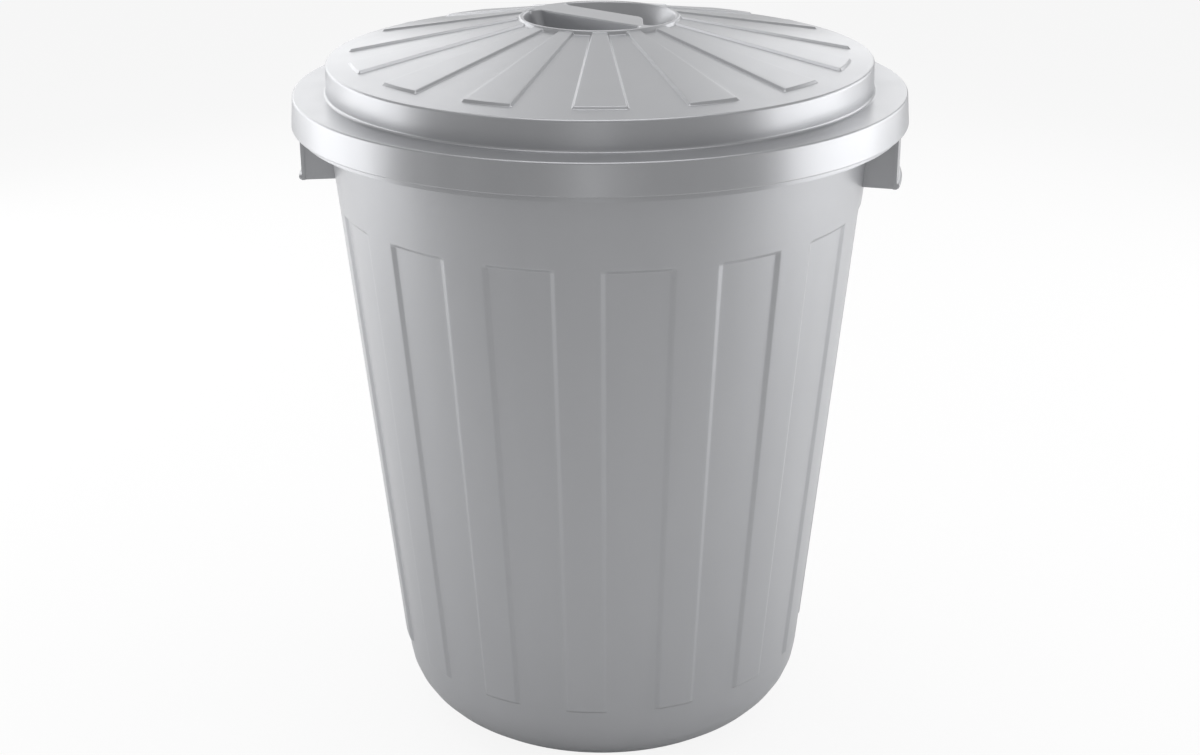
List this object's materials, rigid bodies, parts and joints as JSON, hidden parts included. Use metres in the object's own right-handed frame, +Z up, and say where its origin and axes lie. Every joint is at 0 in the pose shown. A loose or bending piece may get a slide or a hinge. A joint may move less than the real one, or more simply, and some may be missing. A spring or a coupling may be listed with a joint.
{
  "type": "storage bin",
  "caption": "Round tapered plastic bin with a ribbed wall, hand grips moulded under the rim and a lift-off domed lid with a recessed grip bar.",
  "frame": {"origin": "on the bin's axis at the base plane that it stands on", "axes": "+Z up along the bin's axis; the hand grips are on +X and -X"},
  "size_m": [0.4596, 0.4596, 0.5556],
  "materials": {
    "body_plastic": "satin",
    "lid_plastic": "satin"
  },
  "bodies": {
    "bin": {"bin_body": "body_plastic"},
    "lid": {"lid": "lid_plastic"}
  },
  "joints": [
    {"name": "lid_lift", "type": "slide", "parent": "bin", "child": "lid", "axis": [0, 0, 1], "range_m": [0, 0.4]}
  ]
}
